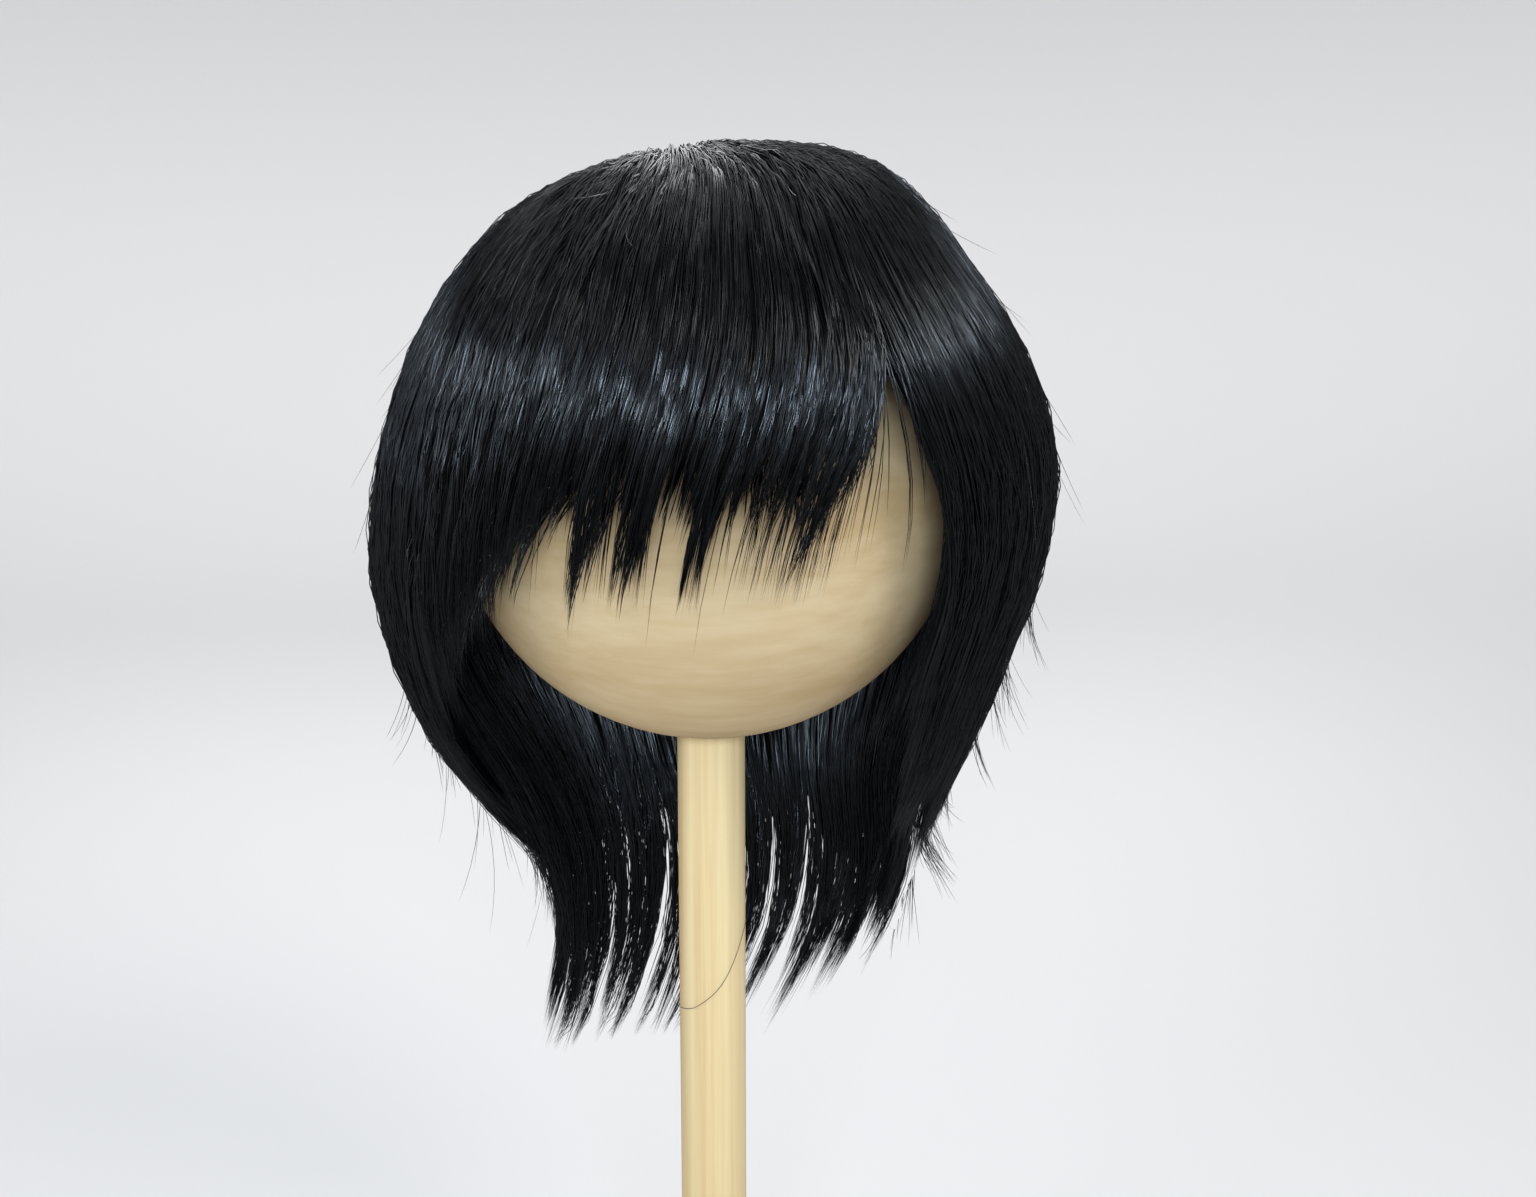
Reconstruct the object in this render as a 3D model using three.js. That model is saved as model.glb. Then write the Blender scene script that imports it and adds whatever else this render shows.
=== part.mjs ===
// A short black doll's wig with a pointed fringe, on a plain wooden stand: a turned ball on a dowel.
// Millimetres, +Z up. The wig faces -Y, and +X is to the right in the front view.
// The origin is the centre of the stand's underside.
import * as THREE from "three";

const { clamp, degToRad, lerp, smoothstep } = THREE.MathUtils;

// Stand
const BALL_DIAMETER = 70;
const DOWEL_DIAMETER = 9.5;
const DOWEL_FREE_LENGTH = 98; // from the base to the ball's lowest point
const BASE_DIAMETER = 76;
const BASE_THICKNESS = 14;
const BASE_EDGE_RADIUS = 3;
const BALL_SOCKET_DEPTH = 18;
const BASE_SOCKET_DEPTH = 9;
const FIT_GAP = 0.3; // between pieces that meet
const BALL_CENTRE_HEIGHT = BASE_THICKNESS + DOWEL_FREE_LENGTH + BALL_DIAMETER / 2;

// Cap
const CAP_THICKNESS = 1;
const CAP_INNER_RADIUS = BALL_DIAMETER / 2 + FIT_GAP;
const CAP_OUTER_RADIUS = CAP_INNER_RADIUS + CAP_THICKNESS;
const CAP_EDGE_ANGLE = 86; // degrees from the cap's axis
const CAP_TILT = 30; // degrees that its axis leans back
const CAP_CLEARANCE = 0.9; // between the cap and the faceted underside of the hair

// Outer form of the hair: a row for each level section, from the crown down to the tips at the nape.
// Heights are above the ball's centre. lean is how far the section rises towards the right.
// left, right, front and back are how far it reaches from the ball's axis.
// over is the thickness of the upper wefts at that level, and under that of the nape weft inside them.
const HAIR_SECTIONS = [
  { height: 43.4, lean: 0.1, left: 4.8, right: -3.2, front: 0.8, back: 0.8, over: 6.2, under: 0 },
  { height: 43.6, lean: 1.3, left: 12.5, right: 9, front: 11, back: 13.5, over: 8, under: 0 },
  { height: 41.4, lean: 1.6, left: 19.6, right: 20.8, front: 20, back: 22.5, over: 9, under: 0 },
  { height: 36.6, lean: 0.8, left: 26.2, right: 28.6, front: 28.5, back: 31, over: 9.4, under: 0 },
  { height: 29, lean: 0, left: 33, right: 35, front: 36.3, back: 38.5, over: 9.8, under: 0 },
  { height: 20, lean: 0, left: 38.6, right: 41.6, front: 42, back: 44, over: 10, under: 0 },
  { height: 10, lean: 0, left: 42.8, right: 46, front: 44.4, back: 46.8, over: 10, under: 0 },
  { height: 0, lean: 0, left: 45.5, right: 47.8, front: 42.6, back: 47.6, over: 8.2, under: 2 },
  { height: -12, lean: 0, left: 46.6, right: 46.5, front: 39.4, back: 47.2, over: 5.6, under: 3.6 },
  { height: -24, lean: 0, left: 44.5, right: 42.2, front: 36, back: 45.4, over: 4.6, under: 5 },
  { height: -36, lean: 0, left: 39.8, right: 38.2, front: 30, back: 41.6, over: 4, under: 6 },
  { height: -48, lean: 0, left: 32.2, right: 33.8, front: 19, back: 36.6, over: 3.2, under: 6.2 },
  { height: -60, lean: 0, left: 23.8, right: 31.5, front: 6, back: 31.6, over: 2, under: 6 },
  { height: -74, lean: 0, left: 19, right: 27.5, front: -4, back: 28, over: 0.3, under: 5 },
  { height: -90, lean: 0, left: 19.5, right: 19, front: -9, back: 26, over: 0, under: 4 },
];

// Wefts: from is the azimuth where a weft starts, in degrees from +X and counter-clockwise seen from above.
// edge is the height of its free edge there, and first its uppermost section.
// sweepFrom and sweepTo are how many degrees the hair at its two ends turns round the head on its way down.
// fullness is 1 for locks cut to straight points, and more for blunter ones.
// Each lock runs until an azimuth. tip is the height of its point and notch that of the slit after it.
const WEFTS = {
  hair_fringe: {
    from: -143,
    edge: -29,
    first: 0,
    sweepFrom: 0,
    sweepTo: -17,
    fullness: 1.3,
    locks: [
      { until: -124, tip: -23, notch: -12 },
      { until: -108, tip: -8, notch: 4 },
      { until: -100, tip: -9, notch: 5 },
      { until: -90, tip: -10, notch: 4 },
      { until: -77, tip: -9, notch: 4 },
      { until: -69, tip: -3, notch: 4 },
      { until: -61.5, tip: -7, notch: 14 },
    ],
  },
  hair_side_right: {
    from: -60.5,
    edge: -30,
    first: 0,
    sweepFrom: 9,
    sweepTo: 3,
    fullness: 1.6,
    locks: [
      { until: -37, tip: -48, notch: -43 },
      { until: -14, tip: -52, notch: -47 },
      { until: 12, tip: -63, notch: -58 },
      { until: 40, tip: -66, notch: -60 },
    ],
  },
  hair_back: {
    from: 41,
    edge: -57,
    first: 0,
    sweepFrom: 3,
    sweepTo: 0,
    fullness: 1.6,
    locks: [
      { until: 60, tip: -64, notch: -56 },
      { until: 79, tip: -61, notch: -53 },
      { until: 99, tip: -61, notch: -53 },
      { until: 119, tip: -60, notch: -53 },
      { until: 138, tip: -62, notch: -54 },
    ],
  },
  hair_side_left: {
    from: 139,
    edge: -53,
    first: 0,
    sweepFrom: 0,
    sweepTo: 0,
    fullness: 1.6,
    locks: [
      { until: 159, tip: -64, notch: -57 },
      { until: 180, tip: -64, notch: -57 },
      { until: 199, tip: -59, notch: -48 },
      { until: 216, tip: -46, notch: -26 },
    ],
  },
  hair_nape: {
    from: -16,
    edge: -60,
    first: 8,
    sweepFrom: 0,
    sweepTo: 0,
    fullness: 3.2,
    locks: [
      { until: 20, tip: -72, notch: -70 },
      { until: 45, tip: -81, notch: -64 },
      { until: 64, tip: -86, notch: -65 },
      { until: 90, tip: -90, notch: -80 },
      { until: 117, tip: -90, notch: -66 },
      { until: 128, tip: -90, notch: -65 },
      { until: 150, tip: -90, notch: -66 },
      { until: 190, tip: -87, notch: -62 },
    ],
  },
};
const WEFT_GAP_ANGLE = 0.35; // degrees left free at each end of a weft
const NAPE_GAP = 0.45; // between the nape weft and the upper ones over it
const LOCK_STATIONS = [0.2, 0.36, 0.5, 0.64, 0.8, 1]; // where columns cross a lock; its tip is at the middle
const WEFT_ROWS = 11;
const SWEEP_START_ROW = 4.5;
const SWEEP_END_ROW = 8;
const GROOVE_DEPTH = 1.1; // between neighbouring locks
const GROOVE_START = 0.3; // share of the way down where the grooves begin
const GROOVE_FULL = 0.8; // and where they reach their depth
const GROOVE_SHARPNESS = 3;
const TIP_THICKNESS = 0.9;
const THINNING_START = 0.5; // share of the way down where a weft begins to thin towards its tips
const END_THICKNESS_SHARE = 0.45; // of a weft's thickness, at its two ends
const END_TAPER = 0.12; // share of a weft's width over which it thins towards an end

// Facets
const BALL_SIDES = 32;
const BALL_RINGS = 18;
const CAP_SIDES = 32;
const CAP_RINGS = 10;
const DOWEL_SIDES = 20;
const BASE_SIDES = 40;
const BASE_EDGE_STEPS = 4;

const WOOD = new THREE.MeshStandardMaterial({ color: 0xdcc491, roughness: 0.6, metalness: 0 });
const HAIR = new THREE.MeshStandardMaterial({ color: 0x0b0b0d, roughness: 0.35, metalness: 0 });
const NET = new THREE.MeshStandardMaterial({ color: 0x131315, roughness: 0.9, metalness: 0 });

// A column of the hair's table between its rows, on a smooth curve through them.
function sectionValue(name, row) {
  const last = HAIR_SECTIONS.length - 1;
  const i = clamp(Math.floor(row), 0, last - 1);
  const f = row - i;
  const [a, b, c, d] = [i - 1, i, i + 1, i + 2].map((k) => HAIR_SECTIONS[clamp(k, 0, last)][name]);
  return b + 0.5 * f * (c - a + f * (2 * a - 5 * b + 4 * c - d + f * (3 * (b - c) + d - a)));
}

// The row at which the outer form reaches a height, by halving the stretch that holds it.
function rowAtHeight(height) {
  let [above, below] = [1, HAIR_SECTIONS.length - 1];
  for (let halving = 0; halving < 30; halving++) {
    const middle = (above + below) / 2;
    if (sectionValue("height", middle) > height) above = middle;
    else below = middle;
  }
  return above;
}

// A point of the outer form, from the ball's centre.
function outerPoint(row, azimuth) {
  const [left, right, front, back] = ["left", "right", "front", "back"].map((name) => sectionValue(name, row));
  const across = Math.cos(azimuth);
  const along = Math.sin(azimuth);
  return new THREE.Vector3(
    (right - left) / 2 + ((right + left) / 2) * across,
    (back - front) / 2 + ((back + front) / 2) * along,
    sectionValue("height", row) + sectionValue("lean", row) * across,
  );
}

// A point at a depth under the outer form, kept clear of the cap.
function pointBeneath(row, azimuth, depth) {
  const step = 0.02; // small enough to read the surface's slope
  const down = outerPoint(row + step, azimuth).sub(outerPoint(row - step, azimuth));
  const round = outerPoint(row, azimuth + step).sub(outerPoint(row, azimuth - step));
  const point = outerPoint(row, azimuth).addScaledVector(down.cross(round).normalize(), -depth);
  const clear = CAP_OUTER_RADIUS + CAP_CLEARANCE;
  if (point.length() < clear) point.setLength(clear);
  return point;
}

// A closed slab: place(i, j, outer) gives a point of its inner or outer face at a column and a row.
function slabGeometry(columns, rows, place) {
  const positions = [];
  const index = [];
  for (const outer of [false, true]) {
    for (let j = 0; j <= rows; j++) {
      for (let i = 0; i <= columns; i++) positions.push(...place(i, j, outer).toArray());
    }
  }
  const layer = (columns + 1) * (rows + 1);
  const inside = (i, j) => j * (columns + 1) + i;
  const outside = (i, j) => layer + inside(i, j);
  const quad = (a, b, c, d) => index.push(a, b, c, a, c, d);
  for (let i = 0; i < columns; i++) {
    for (let j = 0; j < rows; j++) {
      quad(outside(i, j), outside(i, j + 1), outside(i + 1, j + 1), outside(i + 1, j));
      quad(inside(i, j), inside(i + 1, j), inside(i + 1, j + 1), inside(i, j + 1));
    }
    quad(outside(i, 0), outside(i + 1, 0), inside(i + 1, 0), inside(i, 0));
    quad(outside(i + 1, rows), outside(i, rows), inside(i, rows), inside(i + 1, rows));
  }
  for (let j = 0; j < rows; j++) {
    quad(outside(0, j + 1), outside(0, j), inside(0, j), inside(0, j + 1));
    quad(outside(columns, j), outside(columns, j + 1), inside(columns, j + 1), inside(columns, j));
  }
  const geometry = new THREE.BufferGeometry();
  geometry.setAttribute("position", new THREE.Float32BufferAttribute(positions, 3));
  geometry.setIndex(index);
  geometry.computeVertexNormals();
  return geometry;
}

// The columns of a weft: each has its azimuth, the height of its free edge, and its place across its lock,
// from -1 at one slit over 0 at the tip to 1 at the next slit.
function weftColumns(weft) {
  const columns = [{ azimuth: weft.from, edge: weft.edge, across: -1 }];
  let start = weft.from;
  let startNotch = weft.edge;
  for (const lock of weft.locks) {
    for (const station of LOCK_STATIONS) {
      const across = 2 * station - 1;
      const notch = across < 0 ? startNotch : lock.notch;
      columns.push({
        azimuth: lerp(start, lock.until, station),
        edge: lerp(lock.tip, notch, Math.abs(across) ** weft.fullness),
        across,
      });
    }
    start = lock.until;
    startNotch = lock.notch;
  }
  return columns;
}

function weftMesh(name) {
  const weft = WEFTS[name];
  const isNape = weft.first > 0;
  const columns = weftColumns(weft);
  const end = columns.at(-1).azimuth;

  const place = (i, j, outer) => {
    const { azimuth, edge, across } = columns[i];
    const share = (azimuth - weft.from) / (end - weft.from);
    const down = j / WEFT_ROWS;
    const row = lerp(weft.first, rowAtHeight(edge), down);
    const sweep = lerp(weft.sweepFrom, weft.sweepTo, share) * smoothstep(row, SWEEP_START_ROW, SWEEP_END_ROW);
    const inset = lerp(WEFT_GAP_ANGLE, -WEFT_GAP_ANGLE, share);
    const angle = degToRad(azimuth + inset + sweep);

    const relief = Math.abs(across) ** GROOVE_SHARPNESS * smoothstep(down, GROOVE_START, GROOVE_FULL);
    const groove = GROOVE_DEPTH * relief;
    const cover = isNape ? Math.max(sectionValue("over", row), 0) + NAPE_GAP : 0;
    const full = sectionValue(isNape ? "under" : "over", row);
    const toEnd = Math.min(share, 1 - share);
    const ends = lerp(END_THICKNESS_SHARE, 1, smoothstep(toEnd, 0, END_TAPER));
    const thickness = lerp(full * ends, TIP_THICKNESS, smoothstep(down, THINNING_START, 1));
    return pointBeneath(row, angle, cover + groove + (outer ? 0 : thickness));
  };

  const mesh = new THREE.Mesh(slabGeometry(columns.length - 1, WEFT_ROWS, place), HAIR);
  mesh.name = name;
  return mesh;
}

// A turned piece: its outline runs from the axis to the axis, as [radius, height] pairs.
function turnedMesh(name, outline, sides, material) {
  const points = outline.map(([radius, height]) => new THREE.Vector2(radius, height));
  const geometry = new THREE.LatheGeometry(points, sides);
  geometry.rotateX(Math.PI / 2);
  const mesh = new THREE.Mesh(geometry, material);
  mesh.name = name;
  return mesh;
}

// Points of an arc round a centre, from one angle to another in degrees.
function arc([x, y], radius, from, to, steps) {
  return Array.from({ length: steps + 1 }, (_, k) => {
    const angle = degToRad(lerp(from, to, k / steps));
    return [x + radius * Math.cos(angle), y + radius * Math.sin(angle)];
  });
}

// The cap: a thin dome, tipped back so that its edge is higher at the brow than at the nape.
function capMesh() {
  const edge = 90 - CAP_EDGE_ANGLE;
  const inner = arc([0, 0], CAP_INNER_RADIUS, 90, edge, CAP_RINGS).slice(1);
  const outer = arc([0, 0], CAP_OUTER_RADIUS, edge, 90, CAP_RINGS).slice(0, -1);
  const outline = [[0, CAP_INNER_RADIUS], ...inner, ...outer, [0, CAP_OUTER_RADIUS]];
  const mesh = turnedMesh("wig_cap", outline, CAP_SIDES, NET);
  mesh.rotation.x = -degToRad(CAP_TILT);
  return mesh;
}

const SOCKET_RADIUS = DOWEL_DIAMETER / 2 + FIT_GAP;

function ballMesh() {
  const radius = BALL_DIAMETER / 2;
  const mouth = -Math.sqrt(radius ** 2 - SOCKET_RADIUS ** 2);
  const mouthAngle = -90 + THREE.MathUtils.radToDeg(Math.asin(SOCKET_RADIUS / radius));
  const floor = -radius + BALL_SOCKET_DEPTH;
  const shell = arc([0, 0], radius, mouthAngle, 90, BALL_RINGS).slice(1, -1);
  const outline = [[0, floor], [SOCKET_RADIUS, floor], [SOCKET_RADIUS, mouth], ...shell, [0, radius]];
  const mesh = turnedMesh("stand_ball", outline, BALL_SIDES, WOOD);
  mesh.position.z = BALL_CENTRE_HEIGHT;
  return mesh;
}

function dowelMesh() {
  const foot = BASE_THICKNESS - BASE_SOCKET_DEPTH + FIT_GAP;
  const head = BASE_THICKNESS + DOWEL_FREE_LENGTH + BALL_SOCKET_DEPTH - FIT_GAP;
  const radius = DOWEL_DIAMETER / 2;
  const outline = [[0, foot], [radius, foot], [radius, head], [0, head]];
  return turnedMesh("stand_dowel", outline, DOWEL_SIDES, WOOD);
}

function baseMesh() {
  const radius = BASE_DIAMETER / 2;
  const floor = BASE_THICKNESS - BASE_SOCKET_DEPTH;
  const edgeCentre = [radius - BASE_EDGE_RADIUS, BASE_THICKNESS - BASE_EDGE_RADIUS];
  const edge = arc(edgeCentre, BASE_EDGE_RADIUS, 0, 90, BASE_EDGE_STEPS);
  const socket = [[SOCKET_RADIUS, BASE_THICKNESS], [SOCKET_RADIUS, floor], [0, floor]];
  return turnedMesh("stand_base", [[0, 0], [radius, 0], ...edge, ...socket], BASE_SIDES, WOOD);
}

const stand = new THREE.Group();
stand.add(baseMesh(), dowelMesh(), ballMesh());

const wig = new THREE.Group();
wig.position.z = BALL_CENTRE_HEIGHT;
wig.add(capMesh(), ...Object.keys(WEFTS).map(weftMesh));

const part = new THREE.Group();
part.add(stand, wig);

export default part;
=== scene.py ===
import math

import bpy
import numpy as np
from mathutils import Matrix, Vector


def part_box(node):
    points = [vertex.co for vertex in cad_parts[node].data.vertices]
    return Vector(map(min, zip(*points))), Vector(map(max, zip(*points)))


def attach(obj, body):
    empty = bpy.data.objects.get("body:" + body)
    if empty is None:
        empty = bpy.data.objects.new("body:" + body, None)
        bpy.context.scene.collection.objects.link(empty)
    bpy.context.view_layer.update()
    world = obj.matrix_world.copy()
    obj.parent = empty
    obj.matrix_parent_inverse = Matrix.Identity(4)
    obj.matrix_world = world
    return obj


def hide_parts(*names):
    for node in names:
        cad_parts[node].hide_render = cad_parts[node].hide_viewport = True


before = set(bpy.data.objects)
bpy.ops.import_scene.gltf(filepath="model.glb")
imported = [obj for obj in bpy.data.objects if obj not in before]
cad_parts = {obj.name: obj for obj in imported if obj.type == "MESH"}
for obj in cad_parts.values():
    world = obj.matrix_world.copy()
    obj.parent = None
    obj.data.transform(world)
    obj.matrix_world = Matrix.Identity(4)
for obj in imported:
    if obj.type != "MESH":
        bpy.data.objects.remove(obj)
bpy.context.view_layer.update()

MM = 0.001

# The stand, in metres, with the ball's place taken from the frame
BALL_RADIUS = 35 * MM
DOWEL_RADIUS = 4.75 * MM
BASE_RADIUS = 38 * MM
BASE_EDGE_RADIUS = 3 * MM
BALL_SOCKET_DEPTH = 18 * MM
BASE_SOCKET_DEPTH = 9 * MM
FIT_GAP = 0.3 * MM
BALL_CENTRE = Vector((0, 0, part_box("stand_ball")[1].z - BALL_RADIUS))

# The cap
CAP_INNER_RADIUS = BALL_RADIUS + FIT_GAP
CAP_OUTER_RADIUS = CAP_INNER_RADIUS + 1 * MM
CAP_EDGE_ANGLE = 86  # degrees from its axis
CAP_TILT = 30  # degrees that its axis leans back

# The photograph's view
IMAGE_WIDTH = 1536
FOCAL_PIXELS = 1757
SENSOR_WIDTH = 36
CAMERA_DISTANCE = 0.240
CAMERA_ELEVATION = math.radians(7.2)
CAMERA_PITCH = math.radians(-11.03)
CAMERA_YAW = math.radians(1.918)

# Outer form of the hair, in millimetres from the ball's centre: a row for each section, from the crown
# to the nape's tips. lean is how far a section's right side lies above its middle. over is the thickness
# of the upper wefts there, and under that of the nape weft inside them.
SECTION_COLUMNS = ("height", "lean", "left", "right", "front", "back", "over", "under")
HAIR_SECTIONS = (
    (43.4, 0.1, 4.8, -3.2, 0.8, 0.8, 6.2, 0),
    (43.6, 1.3, 12.5, 9, 11, 13.5, 8, 0),
    (41.4, 1.6, 19.6, 20.8, 20, 22.5, 9, 0),
    (36.6, 0.8, 26.2, 28.6, 28.5, 31, 9.4, 0),
    (29, 0, 33, 35, 36.3, 38.5, 9.8, 0),
    (20, 0, 38.6, 41.6, 42, 44, 10, 0),
    (10, 0, 42.8, 46, 44.4, 46.8, 10, 0),
    (0, 0, 45.5, 47.8, 42.6, 47.6, 8.2, 2),
    (-12, 0, 46.6, 46.5, 39.4, 47.2, 5.6, 3.6),
    (-24, 0, 44.5, 42.2, 36, 45.4, 4.6, 5),
    (-36, 0, 39.8, 38.2, 30, 41.6, 4, 6),
    (-48, 0, 32.2, 33.8, 19, 36.6, 3.2, 6.2),
    (-60, 0, 23.8, 31.5, 6, 31.6, 2, 6),
    (-74, 0, 19, 27.5, -4, 28, 0.3, 5),
    (-90, 0, 19.5, 19, -9, 26, 0, 4),
)
LAST_ROW = len(HAIR_SECTIONS) - 1
SECTIONS = dict(zip(SECTION_COLUMNS, np.array(HAIR_SECTIONS, float).T))
HAIR_CLEARANCE_RADIUS = 36.6  # strands stay out of the cap
WEFT_END_SHARE = 0.45  # of a weft's thickness, left at its two ends
WEFT_END_TAPER = 0.12  # of a weft's width, over which it thins to that
TIP_SHARE = 0.35  # of a weft's thickness, left at its tips

# Wefts: azimuths in degrees, heights and lengths in millimetres. A weft runs from its start to its last
# lock, and from the row first of the sections down. Each lock is (until azimuth, height of its tip, height
# of the slit after it), edge is the height before the first lock, and the more fullness, the blunter the
# locks. sweep is how far the hair turns aside, at the weft's start and at its end, and sweep_rows the two
# rows between which it does so there. tail is how much further it turns at the end's tips. pinch is the
# share by which a lock narrows towards its tip, and lean how far to the side of its middle it comes to a
# point. wisp is the width in degrees of the finer bundles in a lock, drift how many widths these stray
# aside, and lift how far their tresses rise and dip. ragged is how far below and above the lock's edge the
# wisps are cut, layered how much shorter some strands are, reach how far the longest pass the edge, flick
# how far the tips bend to the left, and curl how far they come forward. shell_rise is how far above the
# edge the dark body under the strands ends. points is the number of points along a strand.
WEFTS = {
    "hair_fringe": dict(
        start=-143, edge=-29, first=0, sweep=(0, -12), sweep_rows=((3.8, 7.2), (4.4, 8)), tail=-7,
        fullness=1.3, pinch=0.13, lean=-6, wisp=1.3, drift=0.5, lift=(0.45, 1),
        ragged=(4, 4), layered=1.5, reach=4, flick=0, curl=0, shell_rise=6, strands=2650, points=12, seed=11,
        locks=((-124, -24, -12), (-108, -7, 4), (-100, -10, 5), (-90, -11, 4),
               (-77, -8, 4), (-69, -1, 5), (-61.5, -4, 4)),
    ),
    "hair_side_right": dict(
        start=-60.5, edge=-30, first=0, sweep=(9, 3), sweep_rows=((4.5, 8), (4.5, 8)), tail=0,
        fullness=1.6, pinch=0.2, lean=0, wisp=2.4, drift=0.2, lift=(0.15, 0.4),
        ragged=(4, 4), layered=24, reach=5, flick=0, curl=0, shell_rise=12, strands=2500, points=13, seed=12,
        locks=((-37, -48, -43), (-14, -52, -47), (12, -63, -58), (40, -66, -60)),
    ),
    "hair_back": dict(
        start=41, edge=-57, first=0, sweep=(3, 0), sweep_rows=((4.5, 8), (4.5, 8)), tail=0,
        fullness=1.6, pinch=0.2, lean=0, wisp=2.4, drift=0.2, lift=(0.15, 0.4),
        ragged=(4, 4), layered=18, reach=5, flick=0, curl=0, shell_rise=12, strands=2520, points=13, seed=13,
        locks=((60, -64, -56), (79, -61, -53), (99, -61, -53), (119, -60, -53), (138, -62, -54)),
    ),
    "hair_side_left": dict(
        start=139, edge=-53, first=0, sweep=(0, 0), sweep_rows=((4.5, 8), (4.5, 8)), tail=0,
        fullness=1.6, pinch=0.2, lean=0, wisp=2.4, drift=0.2, lift=(0.15, 0.4),
        ragged=(4, 4), layered=18, reach=5, flick=0, curl=0, shell_rise=12, strands=2520, points=13, seed=14,
        locks=((159, -64, -57), (180, -64, -57), (199, -59, -48), (216, -46, -26)),
    ),
    "hair_nape": dict(
        start=-16, edge=-60, first=7.6, sweep=(0, 0), sweep_rows=((4.5, 8), (4.5, 8)), tail=0,
        fullness=2.4, pinch=0.12, lean=0, wisp=2.6, drift=0.3, lift=(0.15, 0.4),
        ragged=(2, 4), layered=5, reach=6, flick=7, curl=4, shell_rise=24, strands=2800, points=12, seed=15,
        locks=((20, -72, -71), (45, -81, -79), (64, -86, -73), (78, -89, -74), (90, -90, -80),
               (104, -90, -76), (114, -91, -64), (122, -91, -66), (130, -91, -62), (139, -91, -66),
               (150, -91, -62), (163, -90, -66), (176, -88, -78), (190, -86, -62)),
    ),
}
# Share of a weft's strands on its surface and in the lining on its inner side
LAYER_SHARES = {"surface": 0.735, "lining": 0.265}

# Single wisps that hang past the fringe's edge, across the wood beside it, or clear of the sides.
# stand is how far in millimetres they stand off the form at their tips.
WISP_COLUMNS = ("weft", "azimuth", "tip_azimuth", "tip_height", "hairs", "stand")
LOOSE_WISPS = (
    ("hair_fringe", -115, -118, -12.3, 2, 0),
    ("hair_fringe", -108, -111.5, -13.2, 1, 0),
    ("hair_fringe", -106, -109.5, -9.5, 10, 0),
    ("hair_fringe", -103, -107, -10.5, 10, 0),
    ("hair_fringe", -99, -103, -12.5, 2, 0),
    ("hair_fringe", -97, -101, -11, 12, 0),
    ("hair_fringe", -94, -99.5, -14.9, 2, 0),
    ("hair_fringe", -88, -93, -11.5, 14, 0),
    ("hair_fringe", -85, -92, -16.7, 1, 0),
    ("hair_fringe", -83, -90, -8.5, 6, 0),
    ("hair_fringe", -80, -88, -12, 2, 0),
    ("hair_fringe", -77.5, -86.2, -8.6, 10, 0),
    ("hair_fringe", -75, -84.3, -9.8, 12, 0),
    ("hair_fringe", -72.5, -82.3, -10, 12, 0),
    ("hair_fringe", -70, -80.6, -10.8, 14, 0),
    ("hair_fringe", -67.5, -78.6, -11, 14, 0),
    ("hair_fringe", -65.5, -76.6, -9.2, 12, 0),
    ("hair_fringe", -63.5, -74.6, -9.6, 10, 0),
    ("hair_fringe", -62.5, -72.3, -6.5, 6, 0),
    ("hair_fringe", -62, -69.2, -7, 3, 0),
    ("hair_fringe", -62, -66, -4.1, 2, 0),
    ("hair_fringe", -62, -60.3, -7.7, 3, 0),
    ("hair_side_right", -60.5, -59.3, 0.6, 3, 0),
    ("hair_side_right", -60, -57.5, 2.4, 3, 0),
    ("hair_side_left", 187, 184, -64, 8, 1.3),
    ("hair_side_left", 178, 177, -68, 7, 1.8),
)

# Tufts of short hairs that stand out from the wefts between two azimuths and two heights: how many, the
# hairs in each, the hairs' length in millimetres and their outward slope
TUFT_COLUMNS = ("weft", "from_azimuth", "to_azimuth", "top", "bottom", "tufts", "hairs", "length", "slope")
TUFTS = (
    ("hair_fringe", -140, -65, 42, 34, 5, 1, 10, 0.25),
    ("hair_side_left", 165, 200, 30, -8, 7, 1, 15, 0.12),
    ("hair_side_left", 165, 205, -26, -62, 13, 3, 8, 0.45),
    ("hair_side_left", 172, 200, -36, -62, 7, 1, 16, 0.5),
    ("hair_side_right", -35, 20, 40, -2, 9, 1, 16, 0.14),
    ("hair_side_right", -25, 25, -16, -60, 18, 10, 6.5, 0.5),
    ("hair_back", 45, 135, 34, -20, 9, 1, 14, 0.14),
    ("hair_back", 45, 135, -30, -58, 12, 3, 8, 0.4),
    ("hair_nape", 150, 185, -62, -84, 5, 3, 6, 0.4),
    ("hair_nape", 0, 60, -58, -74, 8, 3, 5, 0.35),
)

# A loose hair that has fallen across the dowel, in millimetres from the ball's centre
DOWEL_HAIR = (
    (7, 14, -52), (6, 4, -57), (5.1, -1, -61.5), (3.3, -4.1, -67),
    (0.9, -5.1, -71.4), (-2.6, -4.5, -74.5), (-5.1, -1.2, -75.6), (-6, 3, -75.5),
)
DOWEL_HAIR_POINTS = 30

# Radii of the hairs in millimetres, least and most, and the share that is left at their tips
STRAND_RADII = (0.06, 0.1)
WISP_RADII = (0.055, 0.09)
TUFT_RADII = (0.04, 0.065)
DOWEL_HAIR_RADIUS = 0.05
TIP_RADIUS_SHARE = 0.4

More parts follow.
